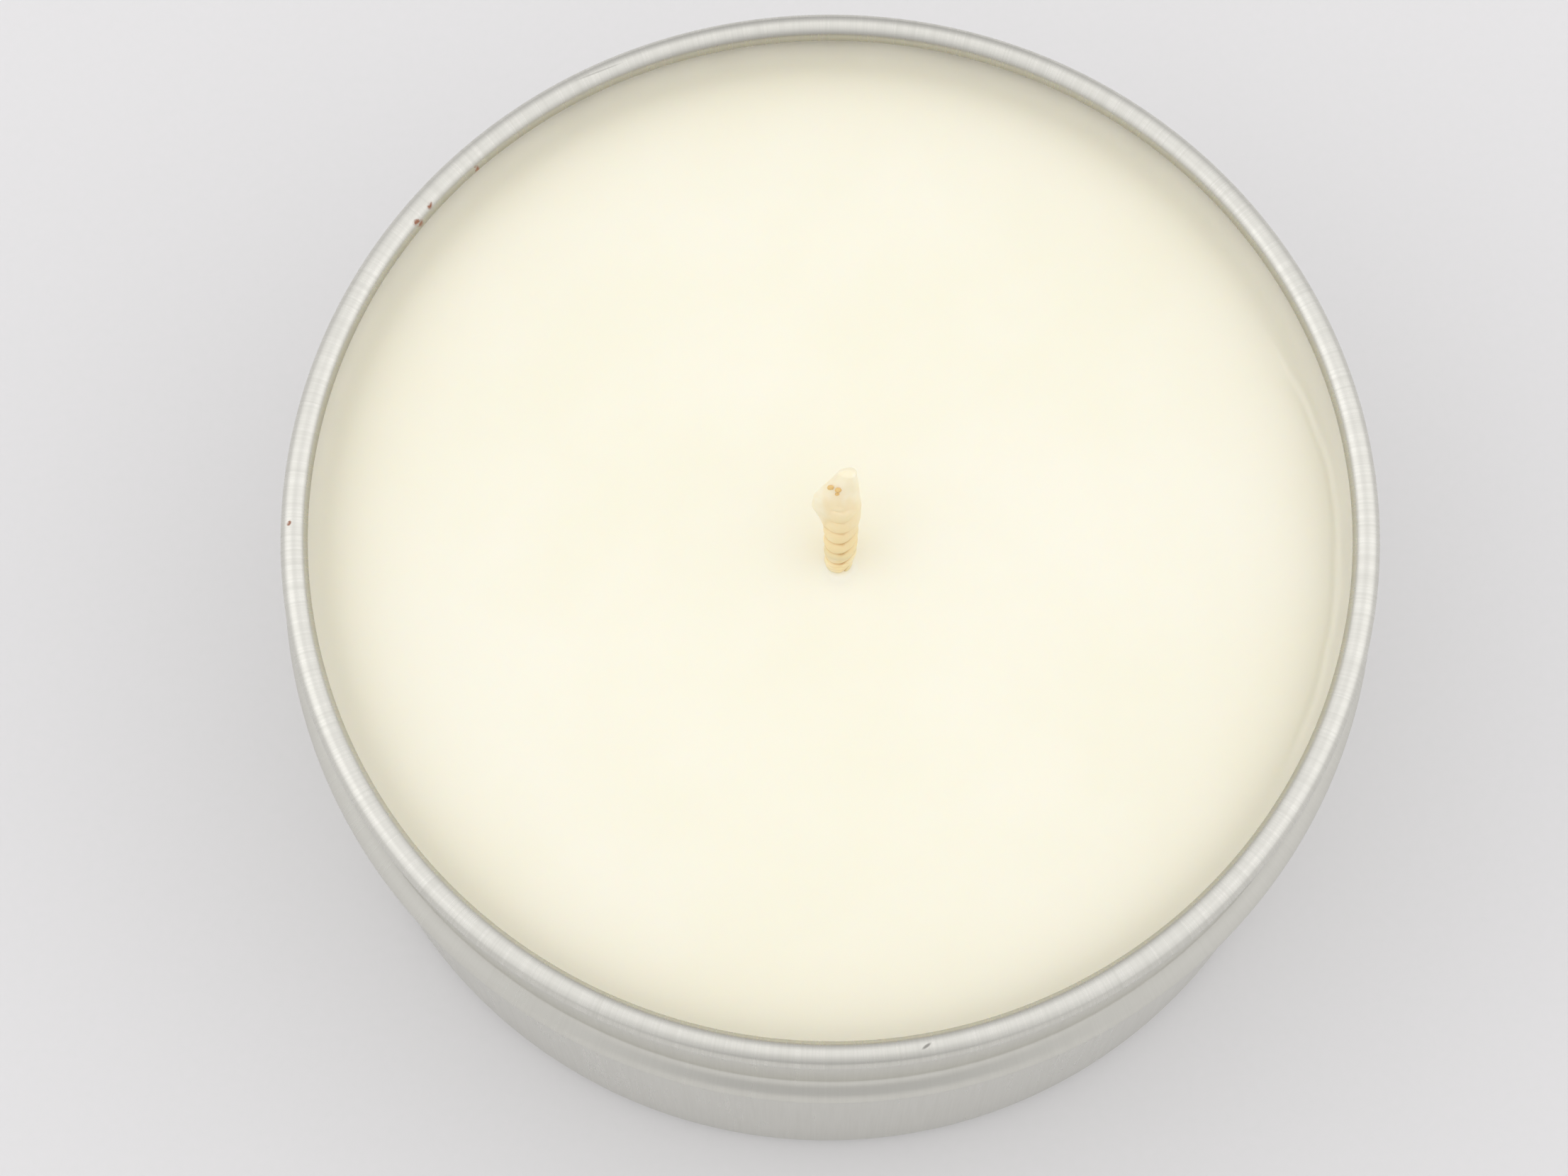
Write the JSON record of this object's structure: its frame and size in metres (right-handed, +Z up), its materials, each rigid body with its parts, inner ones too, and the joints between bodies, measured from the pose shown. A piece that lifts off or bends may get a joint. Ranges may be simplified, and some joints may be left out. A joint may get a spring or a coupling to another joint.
{
  "type": "container candle in a round tin",
  "caption": "Round drawn-metal tin with a curled rim, filled with wax around one braided wick; open on top, stands on a flat foot ring.",
  "frame": {"origin": "middle of the flat foot ring that the tin stands on", "axes": "+Z up through the open top, -Y the front, +X to the right seen from the front; the wick leans to +Y"},
  "size_m": [0.0798, 0.0798, 0.0455],
  "materials": {
    "drawn_aluminium": "satin",
    "soy_wax": "satin",
    "cotton_braid": "matte",
    "paper_core": "matte",
    "wick_wax": "satin",
    "tinplate": "satin",
    "adhesive_foam": "matte"
  },
  "bodies": {
    "root": {"tin_body": "drawn_aluminium", "wax_fill": "soy_wax", "wick_braid": "cotton_braid", "wick_core": "paper_core", "wick_wax_coat": "wick_wax", "wick_sustainer": "tinplate", "wick_sticker": "adhesive_foam"}
  },
  "joints": []
}
